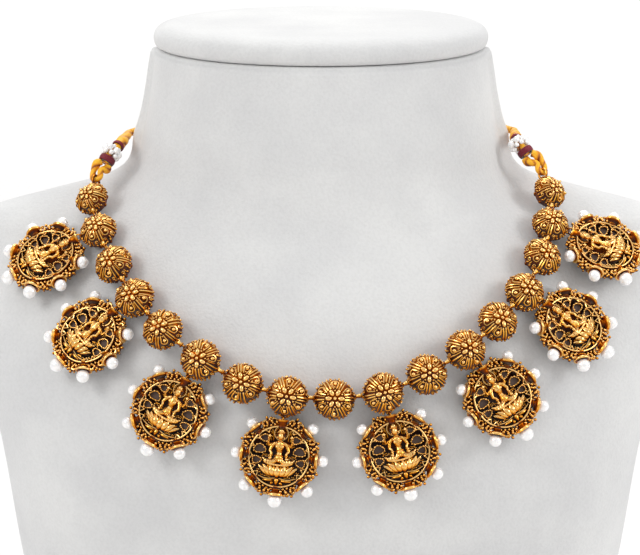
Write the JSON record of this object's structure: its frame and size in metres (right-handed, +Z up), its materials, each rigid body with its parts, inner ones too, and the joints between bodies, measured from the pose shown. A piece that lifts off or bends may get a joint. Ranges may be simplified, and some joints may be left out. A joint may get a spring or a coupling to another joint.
{
  "type": "temple jewellery necklace on a neck bust",
  "caption": "Collar of ribbed gold beads with round figured medallions edged with pearls, closed by a thread cord, shown on a plain pale neck bust.",
  "frame": {"origin": "middle of the flat base of the bust, on the floor", "axes": "+Z up, -Y towards the front of the neck, +X to the viewer's right"},
  "size_m": [0.2164, 0.1323, 0.263],
  "materials": {
    "antique_gold": "gold plated, dark in the hollows, polished on the high places",
    "pearl": "white, soft sheen",
    "gold_thread": "twisted silky thread",
    "red_thread": "tightly wound thread",
    "stand_velvet": "short velvet pile glued to a moulded form"
  },
  "bodies": {
    "root": {"bust_form": "stand_velvet", "bust_cap": "stand_velvet", "bead_01": "antique_gold", "bead_02": "antique_gold", "bead_03": "antique_gold", "bead_04": "antique_gold", "bead_05": "antique_gold", "bead_06": "antique_gold", "bead_07": "antique_gold", "bead_08": "antique_gold", "bead_09": "antique_gold", "bead_10": "antique_gold", "bead_11": "antique_gold", "bead_12": "antique_gold", "bead_13": "antique_gold", "bead_14": "antique_gold", "bead_15": "antique_gold", "bead_16": "antique_gold", "bead_17": "antique_gold", "pendant_1": "antique_gold", "pendant_2": "antique_gold", "pendant_3": "antique_gold", "pendant_4": "antique_gold", "pendant_5": "antique_gold", "pendant_6": "antique_gold", "pendant_7": "antique_gold", "pendant_8": "antique_gold", "pendant_pearls_1": "pearl", "pendant_pearls_2": "pearl", "pendant_pearls_3": "pearl", "pendant_pearls_4": "pearl", "pendant_pearls_5": "pearl", "pendant_pearls_6": "pearl", "pendant_pearls_7": "pearl", "pendant_pearls_8": "pearl", "bead_links": "antique_gold", "pendant_links": "antique_gold", "end_ring_left": "antique_gold", "end_ring_right": "antique_gold", "thread_end_left": "gold_thread", "thread_end_right": "gold_thread", "thick_band_left": "red_thread", "thick_band_right": "red_thread", "thin_band_left": "red_thread", "thin_band_right": "red_thread", "seed_pearls_left": "pearl", "seed_pearls_right": "pearl", "back_cord": "gold_thread"}
  },
  "joints": []
}
